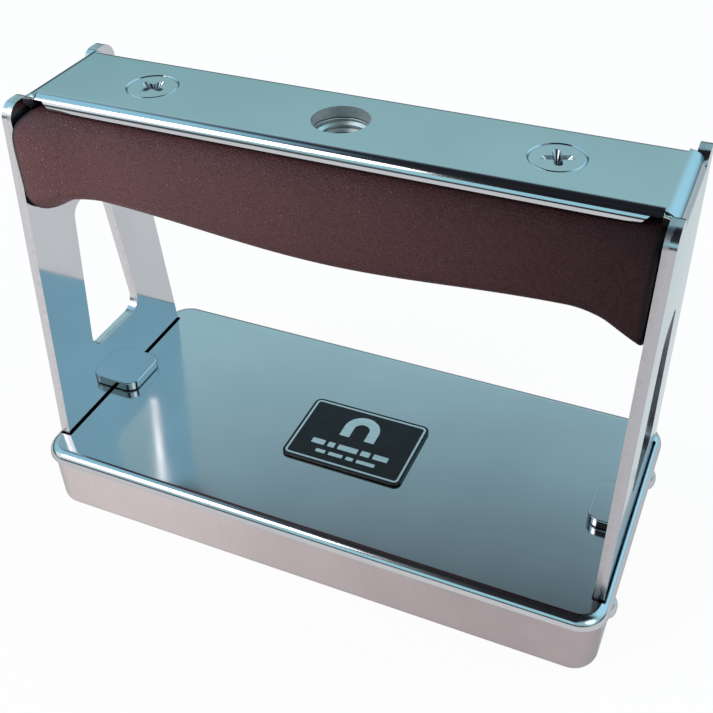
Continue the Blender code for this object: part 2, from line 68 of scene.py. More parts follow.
# ---- driving dimensions of the finer shapes -----------------------------------------
FRAME_SHEET = 3.2 * MM
FRAME_BEND = 5.0 * MM  # outer radius between an arm and the top plate
ARM_TOP_HALF = 25.5 * MM
EAR_RADIUS = 5.0 * MM  # an arm's upper outer corner
EAR_INNER_RADIUS = 3.6 * MM
EAR_START = 14.6 * MM  # the ears' inner sides, tucked behind the bend
EAR_TOP = FRAME_TOP - 0.3 * MM
EAR_ROOT = 8.0 * MM  # how far an ear reaches down into its arm
BEND_HALF = 17.0 * MM
SHOULDER = 1.0 * MM  # the arm's full width ends this far below the bend
BEND_ROUND = 1.2 * MM  # rounding of the bend's two edges, between the ears
NO_ROUND = 0.02 * MM  # stands for a sharp edge, drawn with as many points
TOP_HALF = 17.4 * MM
RELIEF_HALF = 15.8 * MM
FLAT_HALF = 13.6 * MM  # the plate's flat part, between its rolled edges
ROLL_RADIUS = 3.5 * MM
ROLL_HEIGHT = 3.9 * MM
ROLL_THINNING = 0.9 * MM  # the roll's wall is thinner than the sheet by this much
ROLL_LIP_RADIUS = 0.38 * MM
ROLL_END_LOW = 82.6 * MM  # the rolled edges are cut away at a slant, up to the plate
RELIEF_SLANT = 2.6 * MM
RELIEF_DEPTH = 1.5 * MM
SHEAR_EDGE = 0.22 * MM  # softening of a sheared edge

WINDOW_BOTTOM = 46.0 * MM
WINDOW_TOP = 100.0 * MM
WINDOW_BOTTOM_HALF = 14.2 * MM
WINDOW_TOP_HALF = 8.4 * MM
WINDOW_RADIUS = 5.0 * MM

LUG_REACH = 9.0 * MM
LUG_HALF = 9.2 * MM
LUG_RADIUS = 4.0 * MM
LUG_GAP = 0.3 * MM

LID_SHEET = 1.0 * MM
LID_CORNER = 9.0 * MM
LID_BEND = 3.5 * MM
LID_LIP = 0.5 * MM
SLOT_GAP_LEFT = 0.85 * MM  # the frame sits a little to the right in its two slots
SLOT_GAP_RIGHT = 0.40 * MM
SLOT_GAP_OUTER = 0.6 * MM
SLOT_GAP_END = 0.7 * MM
SLOT_CORNER = 0.8 * MM
LID_INNER_BEND = 1.6 * MM
PAN_SHEET = 0.8 * MM
PAN_CORNER = 7.7 * MM
PAN_BOTTOM_RADIUS = 4.0 * MM

RIVET_Y = 28.0 * MM
RIVET_Z = 15.0 * MM
RIVET_SHANK = 2.0 * MM
RIVET_TAIL = 3.0 * MM
RIVET_TAIL_HEIGHT = 1.2 * MM
RIVET_HOLE = 2.3 * MM  # in the tray, and half the width of the frame's guide slots
RIVET_TURN_IN = 0.25 * MM  # the head's rim reaches this far towards the tray
TRAVEL = 6.0 * MM

TENON_Y = 18.0 * MM
TENON_HALF = 4.3 * MM
FIT_GAP = 0.3 * MM  # play between parts that slide or slip into each other
LANCE_GAP = 0.6 * MM  # the punch's play round a lug

POLE_HOLE = 8.1 * MM
POLE_THREAD = 7.0 * MM
THREAD_PITCH = 2.0 * MM
THREAD_DEPTH = 0.85 * MM
SCREW_SHANK = 3.7 * MM
SCREW_HOLE = 4.0 * MM
SINK_DEPTH = 4.2 * MM
SINK_GAP = 0.25 * MM

GRIP_MIDDLE_Z = 118.2 * MM
GRIP_BELLY_Z = 101.3 * MM
GRIP_NECK_Z = 107.9 * MM
GRIP_END_Z = 102.0 * MM
GRIP_NECK_X = 78.5 * MM
GRIP_FLARE_X = 69.0 * MM
GRIP_HALF_WIDTH = 22.0 * MM
GRIP_EDGE_RADIUS = 1.3 * MM
GRIP_SQUARENESS_ABOVE = 4.5  # superellipse powers: 2 is an oval, more is boxier
GRIP_SQUARENESS_FLARE = 3.5  # what the flare adds to the power above
GRIP_SQUARENESS_BELOW = 2.5
GRIP_DROP_POWER = 1.3  # how sharply the underside drops from the neck to the end
GRAIN_CELLS = 1100.0  # leather pebbles per metre
GRAIN_WARP = 0.0014  # share of noise in the pebbles' places, which bends their creases

PLATE_RADIUS = 2.5 * MM
PLATE_RELIEF = 0.08 * MM  # the silver marks stand this much above the black
PLATE_ROWS = (
    # centre of the row, height of its dashes, and their lengths, all in millimetres
    (-5.4, 2.3, (4.6, 2.4, 7.0, 3.2, 5.2)),
    (-9.4, 1.5, (3.4, 5.0, 2.6, 6.4)),
)
PLATE_DASH_GAP = 1.2

CROSS_SECTIONS = (
    # height, half length and half width of one bar of a screw's recess, in millimetres
    (1.0, 4.9, 1.25),
    (0.0, 4.2, 1.05),
    (-1.7, 2.6, 0.75),
    (-3.0, 1.2, 0.5),
)

CUT_REACH = 200 * MM  # cutters run this far out, past every part
FLOOR_DROP = 0.4 * MM
FLOOR_RADIUS = 4.0
METAL_GRAZE = (0.60, 0.65, 0.68)  # tint of a metal's grazing reflections

ARM_INNER = ARM_OUTER - FRAME_SHEET
FRAME_UNDERSIDE = FRAME_TOP - FRAME_SHEET


# ---- mesh helpers -------------------------------------------------------------------
def object_from(name, shape):
    bmesh.ops.recalc_face_normals(shape, faces=shape.faces)
    mesh = bpy.data.meshes.new(name)
    shape.to_mesh(mesh)
    shape.free()
    made = bpy.data.objects.new(name, mesh)
    bpy.context.scene.collection.objects.link(made)
    return made


def rounded(corners, steps=10):
    """Points of a closed outline, given as (u, v, radius) corners."""
    points = []
    count = len(corners)
    for index, (u, v, radius) in enumerate(corners):
        corner = Vector((u, v))
        if radius == 0:
            points.append(corner)
            continue
        before = (Vector(corners[index - 1][:2]) - corner).normalized()
        after = (Vector(corners[(index + 1) % count][:2]) - corner).normalized()
        half_angle = before.angle(after) / 2
        centre = corner + (before + after).normalized() * (radius / math.sin(half_angle))
        reach = radius / math.tan(half_angle)
        first = corner + before * reach - centre
        last = corner + after * reach - centre
        sweep = first.angle_signed(last)
        for step in range(steps + 1):
            points.append(centre + Matrix.Rotation(-sweep * step / steps, 2) @ first)
    return points


def rectangle(half_u, half_v, radius):
    return [
        (-half_u, -half_v, radius),
        (half_u, -half_v, radius),
        (half_u, half_v, radius),
        (-half_u, half_v, radius),
    ]


def lying(u, v, depth):
    return (u, v, depth)


def facing_x(u, v, depth):
    return (depth, u, v)


def facing_y(u, v, depth):
    return (u, depth, v)


def slab(name, points, low, high, turn):
    """A flat outline given thickness from low to high."""
    shape = bmesh.new()
    rings = [[shape.verts.new(turn(u, v, depth)) for u, v in points] for depth in (low, high)]
    bridge(shape, rings)
    shape.faces.new(rings[0])
    shape.faces.new(rings[1])
    return object_from(name, shape)


def bridge(shape, rings):
    """Faces between each ring of vertices and the next."""
    for ring, following in zip(rings, rings[1:]):
        for index in range(len(ring)):
            after = (index + 1) % len(ring)
            shape.faces.new((ring[index], ring[after], following[after], following[index]))


def turns(steps):
    """Angles spread evenly over a full turn."""
    return [2 * math.pi * step / steps for step in range(steps)]


def lathe(name, profile, steps):
    """A closed profile of (radius, height) points, spun round Z."""
    shape = bmesh.new()
    rings = []
    for radius, height in profile:
        if radius == 0:
            rings.append([shape.verts.new((0, 0, height))])
            continue
        spots = [(radius * math.cos(t), radius * math.sin(t), height) for t in turns(steps)]
        rings.append([shape.verts.new(spot) for spot in spots])
    pairs = list(zip(rings, rings[1:] + rings[:1]))
    for ring, following in pairs:
        if len(ring) == 1 and len(following) == 1:
            continue
        for index in range(steps):
            after = (index + 1) % steps
            corners = [ring[index % len(ring)], ring[after % len(ring)]]
            corners += [following[after % len(following)], following[index % len(following)]]
            shape.faces.new(list(dict.fromkeys(corners)))
    return object_from(name, shape)


def drill(x, z, radius, above, below, steps):
    """A round upright cutter at x, reaching above and below the height z."""
    profile = [(0.0, above), (radius, above), (radius, below), (0.0, below)]
    cutter = lathe("drill", profile, steps)
    cutter.data.transform(Matrix.Translation((x, 0, z)))
    return cutter


def combine(target, others, operation="DIFFERENCE"):
    """Cuts or joins with EXACT Booleans and keeps the result."""
    for other in others:
        modifier = target.modifiers.new(operation, "BOOLEAN")
        modifier.operation = operation
        modifier.solver = "EXACT"
        modifier.object = other
    bake(target)
    for other in others:
        bpy.data.objects.remove(other, do_unlink=True)
    return target


def bake(target):
    """Replaces the mesh by what its modifiers make of it."""
    graph = bpy.context.evaluated_depsgraph_get()
    mesh = bpy.data.meshes.new_from_object(target.evaluated_get(graph))
    target.modifiers.clear()
    target.data = mesh


def clean(target):
    shape = bmesh.new()
    shape.from_mesh(target.data)
    bmesh.ops.remove_doubles(shape, verts=shape.verts, dist=0.002 * MM)
    bmesh.ops.dissolve_limit(
        shape, angle_limit=math.radians(0.3), verts=shape.verts, edges=shape.edges
    )
    shape.to_mesh(target.data)
    shape.free()


def soften(target, width, segments=2, angle=32):
    """Small rounds on the sharp edges, with flat faces kept flat."""
    target.data.shade_smooth()
    bevel = target.modifiers.new("edges", "BEVEL")
    bevel.width = width
    bevel.segments = segments
    bevel.limit_method = "ANGLE"
    bevel.angle_limit = math.radians(angle)
    bevel.harden_normals = True
    normals = target.modifiers.new("normals", "WEIGHTED_NORMAL")
    normals.weight = 90
    normals.keep_sharp = True


def place(target, body, material_name, *nodes):
    """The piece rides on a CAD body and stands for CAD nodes."""
    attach(target, body)
    if nodes:
        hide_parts(*nodes)
    return target


# ---- material helpers ---------------------------------------------------------------
def fill_ramp(ramp, stops):
    """Gives a colour ramp its stops, each a position and a colour."""
    while len(ramp.elements) < len(stops):
        ramp.elements.new(0.5)
    for element, (position, colour) in zip(ramp.elements, stops):
        element.position = position
        element.color = (*colour, 1.0)


class Paint:
    """A material under construction: its shader, and short calls for the nodes used here."""

    def __init__(self, name, colour, roughness, metallic, graze=METAL_GRAZE):
        self.material = bpy.data.materials.new(name)
        self.material.use_nodes = True
        self.tree = self.material.node_tree
        self.shader = self.tree.nodes["Principled BSDF"]
        self.shader.inputs["Base Color"].default_value = (*colour, 1.0)
        self.shader.inputs["Roughness"].default_value = roughness
        self.shader.inputs["Metallic"].default_value = metallic
        if metallic:
            self.shader.inputs["Specular Tint"].default_value = (*graze, 1.0)
        self.place = self.tree.nodes.new("ShaderNodeTexCoord").outputs["Object"]

    def link(self, source, target):
        self.tree.links.new(source, target)

    def stretched(self, scale):
        """Object coordinates scaled on each axis, so that a pattern runs long one way."""
        mapping = self.tree.nodes.new("ShaderNodeMapping")
        mapping.inputs["Scale"].default_value = scale
        self.link(self.place, mapping.inputs["Vector"])
        return mapping.outputs["Vector"]

    def noise(self, scale, detail=2.0, vector=None):
        node = self.tree.nodes.new("ShaderNodeTexNoise")
        node.inputs["Scale"].default_value = scale
        node.inputs["Detail"].default_value = detail
        self.link(vector or self.place, node.inputs["Vector"])
        return node.outputs["Fac"]

    def cells(self, scale, feature="F1", vector=None, randomness=1.0):
        node = self.tree.nodes.new("ShaderNodeTexVoronoi")
        node.feature = feature
        node.inputs["Scale"].default_value = scale
        node.inputs["Randomness"].default_value = randomness
        self.link(vector or self.place, node.inputs["Vector"])
        return node.outputs["Distance"]

    def spread(self, value, low, high, out_low, out_high, smooth=False):
        node = self.tree.nodes.new("ShaderNodeMapRange")
        node.interpolation_type = "SMOOTHSTEP" if smooth else "LINEAR"
        for socket, number in zip(
            ("From Min", "From Max", "To Min", "To Max"), (low, high, out_low, out_high)
        ):
            node.inputs[socket].default_value = number
        self.link(value, node.inputs["Value"])
        return node.outputs["Result"]

    def maths(self, operation, first, second=None):
        node = self.tree.nodes.new("ShaderNodeMath")
        node.operation = operation
        for index, value in enumerate((first, second)):
            if value is None:
                continue
            if isinstance(value, (int, float)):
                node.inputs[index].default_value = value
            else:
                self.link(value, node.inputs[index])
        return node.outputs["Value"]

    def axis(self, letter):
        node = self.tree.nodes.new("ShaderNodeSeparateXYZ")
        self.link(self.place, node.inputs["Vector"])
        return node.outputs[letter]

    def colours(self, value, *stops):
        """A colour ramp through (position, colour) stops."""
        node = self.tree.nodes.new("ShaderNodeValToRGB")
        fill_ramp(node.color_ramp, stops)
        self.link(value, node.inputs["Fac"])
        return node.outputs["Color"]

    def mix(self, share, first, second):
        node = self.tree.nodes.new("ShaderNodeMix")
        node.data_type = "RGBA"
        self.link(share, node.inputs["Factor"])
        for socket, value in ((node.inputs[6], first), (node.inputs[7], second)):
            if isinstance(value, tuple):
                socket.default_value = (*value, 1.0)
            else:
                self.link(value, socket)
        return node.outputs[2]

    def bump(self, height, strength, distance):
        node = self.tree.nodes.new("ShaderNodeBump")
        node.inputs["Strength"].default_value = strength
        node.inputs["Distance"].default_value = distance
        self.link(height, node.inputs["Height"])
        self.link(node.outputs["Normal"], self.shader.inputs["Normal"])

    def colour(self, source):
        self.link(source, self.shader.inputs["Base Color"])

    def roughness(self, source):
        self.link(source, self.shader.inputs["Roughness"])


# ---- materials ----------------------------------------------------------------------
def bright_zinc(name, low, high, graze=METAL_GRAZE):
    """Bright zinc plating: near mirror, smudged between the low and the high roughness."""
    paint = Paint(name, (0.50, 0.51, 0.53), low, 1.0, graze)
    clouds = paint.noise(26.0, 3.0)
    paint.colour(paint.colours(clouds, (0.3, (0.48, 0.49, 0.51)), (0.7, (0.53, 0.54, 0.56))))
    rolling = paint.noise(90.0, 3.0, paint.stretched((0.12, 1.0, 1.0)))
    smudge = paint.maths("MULTIPLY", clouds, rolling)
    paint.roughness(paint.spread(smudge, 0.12, 0.40, low, high))
    paint.bump(paint.noise(38.0, 1.0), 0.06, 0.10 * MM)
    return paint.material


def sheared_edge(name):
    """A punched edge: burnished on the outer side of the sheet, torn on the inner side.

    The right arm's edges are a shade darker: painted shade, as the light falls off towards the right."""
    paint = Paint(name, (0.55, 0.55, 0.56), 0.3, 1.0)
    depth = paint.spread(
        paint.maths("ABSOLUTE", paint.axis("X")), ARM_INNER, ARM_OUTER, 0.0, 1.0
    )
    ragged = paint.maths("ADD", depth, paint.spread(paint.noise(420.0, 3.0), 0.3, 0.7, -0.1, 0.1))
    torn = paint.spread(ragged, 0.40, 0.52, 1.0, 0.0, smooth=True)
    speckle = paint.noise(520.0, 2.0)
    rough_metal = paint.colours(speckle, (0.3, (0.56, 0.53, 0.54)), (0.7, (0.66, 0.63, 0.64)))
    bare = paint.mix(torn, (0.58, 0.57, 0.59), rough_metal)
    # painted shade: the edges darken towards the right arm, away from the light on the left
    painted_shade_right_arm = paint.spread(paint.axis("X"), -20 * MM, 20 * MM, 0.0, 0.6)
    paint.colour(paint.mix(painted_shade_right_arm, bare, (0.34, 0.33, 0.35)))
    paint.roughness(paint.spread(torn, 0.0, 1.0, 0.18, 0.36))
    paint.bump(paint.maths("MULTIPLY", speckle, torn), 0.12, 0.08 * MM)
    return paint.material


def satin_stainless(name):
    """Deep-drawn stainless with a soft upright grain, brighter at its left end and darker at its right:
    painted light and shade along its length.
    """
    paint = Paint(name, (0.56, 0.49, 0.49), 0.3, 1.0)
    grain = paint.noise(520.0, 4.0, paint.stretched((1.0, 1.0, 0.05)))
    cloud = paint.noise(30.0, 3.0)
    # painted light and shade: lighter colours for the lit left end, darker ones for the shaded right end,
    # blended along X
    left = paint.colours(cloud, (0.3, (0.62, 0.540, 0.532)), (0.7, (0.69, 0.605, 0.597)))
    right = paint.colours(cloud, (0.3, (0.37, 0.312, 0.320)), (0.7, (0.42, 0.360, 0.368)))
    along = paint.spread(paint.axis("X"), -78 * MM, 62 * MM, 0.0, 1.0, smooth=True)
    paint.colour(paint.mix(along, left, right))
    paint.roughness(paint.spread(grain, 0.3, 0.7, 0.26, 0.36))
    paint.bump(grain, 0.04, 0.05 * MM)
    return paint.material


def grip_vinyl(name):
    """Brown vinyl with a pebbled leather grain, smooth at both ends. Painted shade turns both ends
    near-black, darkens it towards the right end and deepens the creases, which also have a darker tone of
    their own.
    """
    paint = Paint(name, (0.15, 0.055, 0.058), 0.42, 0.0)
    warp = paint.tree.nodes.new("ShaderNodeTexNoise")
    warp.inputs["Scale"].default_value = 800.0
    warp.inputs["Detail"].default_value = 3.0
    paint.link(paint.place, warp.inputs["Vector"])
    bent = paint.tree.nodes.new("ShaderNodeMix")
    bent.data_type = "VECTOR"
    bent.inputs["Factor"].default_value = GRAIN_WARP
    paint.link(paint.place, bent.inputs[4])
    paint.link(warp.outputs["Color"], bent.inputs[5])
    place_bent = bent.outputs[1]
    crease = paint.spread(
        paint.cells(GRAIN_CELLS, "DISTANCE_TO_EDGE", place_bent), 0.0, 0.40, 0.0, 1.0, smooth=True
    )
    folds = paint.spread(paint.noise(640.0, 3.0), 0.35, 0.62, 0.0, 1.0, smooth=True)
    pebble = paint.maths("MULTIPLY", crease, paint.spread(folds, 0.0, 1.0, 0.45, 1.0))
    end = paint.spread(
        paint.maths("ABSOLUTE", paint.axis("X")),
        GRIP_HIGH.x - 2.0 * MM,
        GRIP_HIGH.x - 0.9 * MM,
        0.0,
        1.0,
        smooth=True,
    )
    plain = paint.maths("SUBTRACT", 1.0, end)
    paint.bump(paint.maths("MULTIPLY", pebble, plain), 1.0, 0.34 * MM)
    tone = paint.colours(
        paint.noise(55.0, 4.0), (0.3, (0.235, 0.075, 0.077)), (0.72, (0.305, 0.108, 0.110))
    )
    # the creases between pebbles take a darker colour: partly the grain's own tone, partly painted shade
    # in the creases
    grain_with_crease_shade = paint.mix(pebble, (0.140, 0.045, 0.047), tone)
    # painted shade: the colour darkens along the grip towards the right end, away from the light on the
    # left
    along = paint.spread(paint.axis("X"), GRIP_LOW.x, GRIP_HIGH.x, 0.0, 1.0)
    shaded_towards_right = paint.mix(along, grain_with_crease_shade, (0.030, 0.011, 0.013))
    # painted shade: both ends turn near-black, standing in for the shadow where the grip meets the arms
    paint.colour(paint.mix(end, shaded_towards_right, (0.010, 0.006, 0.007)))
    paint.roughness(paint.spread(pebble, 0.0, 1.0, 0.58, 0.36))
    paint.link(paint.spread(along, 0.0, 1.0, 0.50, 0.08), paint.shader.inputs["Specular IOR Level"])
    return paint.material


def plate_enamel(name):
    """Black printed aluminium foil."""
    paint = Paint(name, (0.012, 0.011, 0.013), 0.34, 0.0)
    paint.shader.inputs["Specular IOR Level"].default_value = 0.22
    paint.colour(
        paint.colours(paint.noise(200.0, 2.0), (0.3, (0.010, 0.010, 0.012)), (0.7, (0.016, 0.015, 0.018)))
    )
    paint.roughness(paint.spread(paint.noise(90.0, 3.0), 0.3, 0.7, 0.24, 0.36))
    return paint.material


def plate_silver(name):
    """The foil's bare metal, in the border and the pictogram."""
    paint = Paint(name, (0.72, 0.73, 0.74), 0.3, 1.0)
    streaks = paint.noise(700.0, 2.0, paint.stretched((0.08, 1.0, 1.0)))
    paint.colour(paint.colours(streaks, (0.3, (0.66, 0.67, 0.69)), (0.7, (0.80, 0.80, 0.81))))
    paint.roughness(paint.spread(streaks, 0.3, 0.7, 0.24, 0.36))
    return paint.material


def plain_steel(name, colour, roughness):
    """Machined steel that stays out of sight: faint oil stains."""
    paint = Paint(name, colour, roughness, 1.0)
    stain = paint.noise(70.0, 4.0)
    darker = tuple(0.75 * channel for channel in colour)
    paint.colour(paint.colours(stain, (0.3, darker), (0.7, colour)))
    paint.roughness(paint.spread(stain, 0.3, 0.7, roughness * 0.8, roughness * 1.2))
    return paint.material


def ferrite(name):
    """Sintered ferrite: dark, matt and slightly gritty."""
    paint = Paint(name, (0.045, 0.045, 0.05), 0.7, 0.0)
    grit = paint.noise(1500.0, 3.0)
    paint.colour(paint.colours(grit, (0.3, (0.03, 0.03, 0.034)), (0.7, (0.06, 0.06, 0.065))))
    paint.bump(grit, 0.3, 0.1 * MM)
    return paint.material


# ---- the box ------------------------------------------------------------------------
def tray_rings(half_length, half_width, corner, profile, steps=14):
    """Rings of a rounded rectangle, each (inset, height) of the profile."""
    rings = []
    for inset, height in profile:
        radius = max(corner - inset, 0.2 * MM)
        outline = rounded(rectangle(half_length - inset, half_width - inset, radius), steps)
        rings.append([(u, v, height) for u, v in outline])
    return rings


def pressed_sheet(name, half_length, half_width, corner, profile):
    """A pressed tray or lid: closed skin following an outer and an inner profile."""
    shape = bmesh.new()
    rings = [
        [shape.verts.new(point) for point in ring]
        for ring in tray_rings(half_length, half_width, corner, profile)
    ]
    bridge(shape, rings)
    shape.faces.new(rings[0])
    shape.faces.new(rings[-1])
    return object_from(name, shape)


def arc(centre_inset, centre_height, radius, start, end, steps=8):
    """Profile points on an arc, angles in degrees from straight out to straight up."""
    points = []
    for step in range(steps + 1):
        angle = math.radians(start + (end - start) * step / steps)
        points.append(
            (centre_inset - radius * math.cos(angle), centre_height + radius * math.sin(angle))
        )
    return points


def make_lid():
    bottom = LID_LOW.z
    inner_bend = LID_INNER_BEND
    outer = arc(LID_BEND, LID_TOP - LID_BEND, LID_BEND, 90, 0)
    rim = arc(LID_LIP, bottom + LID_LIP, LID_LIP, 0, -90, 6)
    inner = arc(LID_SHEET + inner_bend, LID_TOP - LID_SHEET - inner_bend, inner_bend, 0, 90, 6)
    inner.insert(0, (LID_SHEET, bottom))
    lid = pressed_sheet("lid_skin", LID_HIGH.x, LID_HIGH.y, LID_CORNER, outer + rim + inner)
    slots = []
    for side in (-1, 1):
        gap = SLOT_GAP_LEFT if side < 0 else SLOT_GAP_RIGHT
        low, high = sorted((side * (ARM_INNER - gap), side * (ARM_OUTER + SLOT_GAP_OUTER)))
        centre = (low + high) / 2
        half = (high - low) / 2
        length = ARM_BASE_HALF + SLOT_GAP_END
        points = [(u + centre, v) for u, v in rounded(rectangle(half, length, SLOT_CORNER), 4)]
        slots.append(slab(f"slot_{side}", points, LID_TOP - 2 * MM, LID_TOP + 5 * MM, lying))
    combine(lid, slots)
    clean(lid)
    soften(lid, 0.12 * MM, 2, 50)
    lid.data.materials.append(ZINC_LID)
    return place(lid, "box", "zinc_steel", "lid")


def make_pan():
    radius = PAN_BOTTOM_RADIUS
    top = PAN_HIGH.z
    outer = [(radius, 0.0)] + arc(radius, radius, radius, -90, 0)[1:]
    outer.append((0.0, top))
    inside = radius - PAN_SHEET
    inner = [(PAN_SHEET, top)]
    inner += arc(radius, radius, inside, 0, -90)
    pan = pressed_sheet("pan_skin", PAN_HIGH.x, PAN_HIGH.y, PAN_CORNER, outer + inner)
    holes = []
    for y in (-RIVET_Y, RIVET_Y):
        circle = [
            (y + RIVET_HOLE * math.cos(t), RIVET_Z + RIVET_HOLE * math.sin(t))
            for t in turns(40)
        ]
        holes.append(slab(f"rivet_hole_{y}", circle, 2 * PAN_LOW.x, 2 * PAN_HIGH.x, facing_x))
    combine(pan, holes)
    pan.data.shade_smooth()
    pan.data.set_sharp_from_angle(angle=math.radians(50))
    pan.data.materials.append(STAINLESS)
    return place(pan, "box", "stainless", "pan")


def make_rivet(node, side):
    """A rivet: low dome outside the tray, shank, and a tail with softened edges inside."""
    low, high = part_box(node)
    y = (low.y + high.y) / 2
    face = PAN_HIGH.x + FIT_GAP
    head = (high.y - low.y) / 2
    outer = max(abs(low.x), abs(high.x)) - face
    tail = min(abs(low.x), abs(high.x)) - face
    profile = [(0.0, outer)]
    steps = 12
    for step in range(1, steps + 1):
        angle = math.radians(90 * step / steps)
        profile.append((head * math.sin(angle), outer * math.cos(angle)))
    profile += [(head, -RIVET_TURN_IN), (RIVET_SHANK, -RIVET_TURN_IN)]
    soft = 0.3 * MM
    tail_top = tail + RIVET_TAIL_HEIGHT
    profile += [(RIVET_SHANK, tail_top), (RIVET_TAIL - soft, tail_top), (RIVET_TAIL, tail_top - soft)]
    profile += [(RIVET_TAIL, tail + soft), (RIVET_TAIL - soft, tail), (0.0, tail)]
    rivet = lathe(f"{node}_body", profile, 48)
    turn = Matrix.Rotation(math.radians(90 * side), 4, "Y")
    rivet.data.transform(Matrix.Translation((side * face, y, RIVET_Z)) @ turn)
    rivet.data.shade_smooth()
    rivet.data.set_sharp_from_angle(angle=math.radians(40))
    rivet.data.materials.append(ZINC_SMALL)
    return place(rivet, "box", "zinc_steel", node)


def make_name_plate():
    """Black foil with a silver border and a plain magnet pictogram in place of any mark."""
    centre = (PLATE_LOW + PLATE_HIGH) / 2
    half = (PLATE_HIGH - PLATE_LOW) / 2
    top = PLATE_HIGH.z

    def moved(points):
        return [(u + centre.x, v + centre.y) for u, v in points]

    base = slab(
        "name_plate_base",
        moved(rounded(rectangle(half.x, half.y, PLATE_RADIUS))),
        PLATE_LOW.z,
        top - PLATE_RELIEF,
        lying,
    )
    soften(base, 0.15 * MM)
    base.data.materials.append(PLATE_BLACK)
    place(base, "box", "name_plate", "name_plate")
    sunk = top - 1.5 * PLATE_RELIEF
    marks = [plate_border(moved, half, top, sunk), horseshoe(moved, top)]
    for centre_v, height, lengths in PLATE_ROWS:
        start = -sum(lengths) / 2 - PLATE_DASH_GAP * (len(lengths) - 1) / 2
        for index, length in enumerate(lengths):
            outline = [
                (u + (start + length / 2) * MM, v + centre_v * MM)
                for u, v in rounded(rectangle(length * MM / 2, height * MM / 2, 0.25 * MM), 3)
            ]
            marks.append(slab(f"plate_dash_{height}_{index}", moved(outline), sunk, top, lying))
            start += length + PLATE_DASH_GAP
    for mark in marks:
        mark.data.materials.append(PLATE_SILVER)
        place(mark, "box", "name_plate")


def plate_border(moved, half, top, sunk):
    """The silver line that runs round the plate, set in from its edge."""
    shape = bmesh.new()
    outer, inner = 0.9 * MM, 1.6 * MM
    rings = []
    for inset, height in ((outer, top), (outer, sunk), (inner, sunk), (inner, top)):
        outline = moved(rounded(rectangle(half.x - inset, half.y - inset, PLATE_RADIUS - inset)))
        rings.append([shape.verts.new((u, v, height)) for u, v in outline])
    bridge(shape, rings + rings[:1])
    return object_from("plate_border", shape)


def horseshoe(moved, top):
    """A plain horseshoe-magnet pictogram, poles down."""
    outer, inner, leg, middle = 6.2 * MM, 2.7 * MM, 4.6 * MM, 4.6 * MM
    turns = [math.pi * step / 24 for step in range(25)]
    points = [(outer * math.cos(t), middle + outer * math.sin(t)) for t in turns]
    points += [(-outer, middle - leg), (-inner, middle - leg)]
    points += [(-inner * math.cos(t), middle + inner * math.sin(t)) for t in turns]
    points += [(inner, middle - leg), (outer, middle - leg)]
    return slab("plate_pictogram", moved(points), top - 2 * PLATE_RELIEF, top, lying)


# ---- the handle frame ---------------------------------------------------------------
def strip_stations():
    """Half of the bent strip: outer point, inner point, half width and edge rounding."""
    bend_x = ARM_OUTER - FRAME_BEND
    bend_z = FRAME_TOP - FRAME_BEND
    inner_bend = FRAME_BEND - FRAME_SHEET
    shoulder = bend_z - SHOULDER
    stations = [
        ((ARM_OUTER, FRAME_LOW.z), (ARM_INNER, FRAME_LOW.z), ARM_BASE_HALF, NO_ROUND),
        ((ARM_OUTER, LID_TOP), (ARM_INNER, LID_TOP), ARM_BASE_HALF, NO_ROUND),
        ((ARM_OUTER, shoulder), (ARM_INNER, shoulder), ARM_TOP_HALF, NO_ROUND),
        ((ARM_OUTER, shoulder), (ARM_INNER, shoulder), BEND_HALF, BEND_ROUND),
    ]
    steps = 20
    for step in range(steps + 1):
        angle = math.radians(90 * step / steps)
        across, up = math.cos(angle), math.sin(angle)
        outer = (bend_x + FRAME_BEND * across, bend_z + FRAME_BEND * up)
        inner = (bend_x + inner_bend * across, bend_z + inner_bend * up)
        stations.append((outer, inner, BEND_HALF, BEND_ROUND))
    for x in (bend_x - 0.2 * MM, bend_x - 1.0 * MM):
        stations.append(((x, FRAME_TOP), (x, FRAME_UNDERSIDE), FLAT_HALF, NO_ROUND))
    return stations


def strip_ring(shape, side, outer, inner, half_width, radius):
    """The strip's section at one station, its outer edges rounded to the radius."""
    outer, inner = Vector(outer), Vector(inner)
    ring = []
    steps = 6
    for edge in (-1, 1):
        for step in range(steps + 1):
            angle = math.radians(90 * (steps - step if edge < 0 else step) / steps)
            y = edge * (half_width - radius + radius * math.sin(angle))
            spot = outer.lerp(inner, radius * (1 - math.cos(angle)) / FRAME_SHEET)
            ring.append((side * spot.x, y, spot.y))
    ring += [(side * inner.x, half_width, inner.y), (side * inner.x, -half_width, inner.y)]
    return [shape.verts.new(point) for point in ring]


def ear(side, edge):
    """The arm's upper corner, which stays upright beside the bend."""
    root = FRAME_TOP - FRAME_BEND - EAR_ROOT
    outline = [
        (edge * EAR_START, root, 0),
        (edge * ARM_TOP_HALF, root, 0),
        (edge * ARM_TOP_HALF, EAR_TOP, EAR_RADIUS),
        (edge * EAR_START, EAR_TOP, EAR_INNER_RADIUS),
    ]
    low, high = sorted((side * ARM_INNER, side * ARM_OUTER))
    return slab(f"ear_{side}_{edge}", rounded(outline, 16), low, high, facing_x)


def make_frame_strip():
    half = strip_stations()
    whole = [(1, *station) for station in half] + [(-1, *station) for station in reversed(half)]
    shape = bmesh.new()
    rings = [strip_ring(shape, *station) for station in whole]
    bridge(shape, rings)
    shape.faces.new(rings[0])
    shape.faces.new(rings[-1])
    bmesh.ops.dissolve_degenerate(shape, edges=shape.edges, dist=1e-7)
    return object_from("handle_frame_sheet", shape)


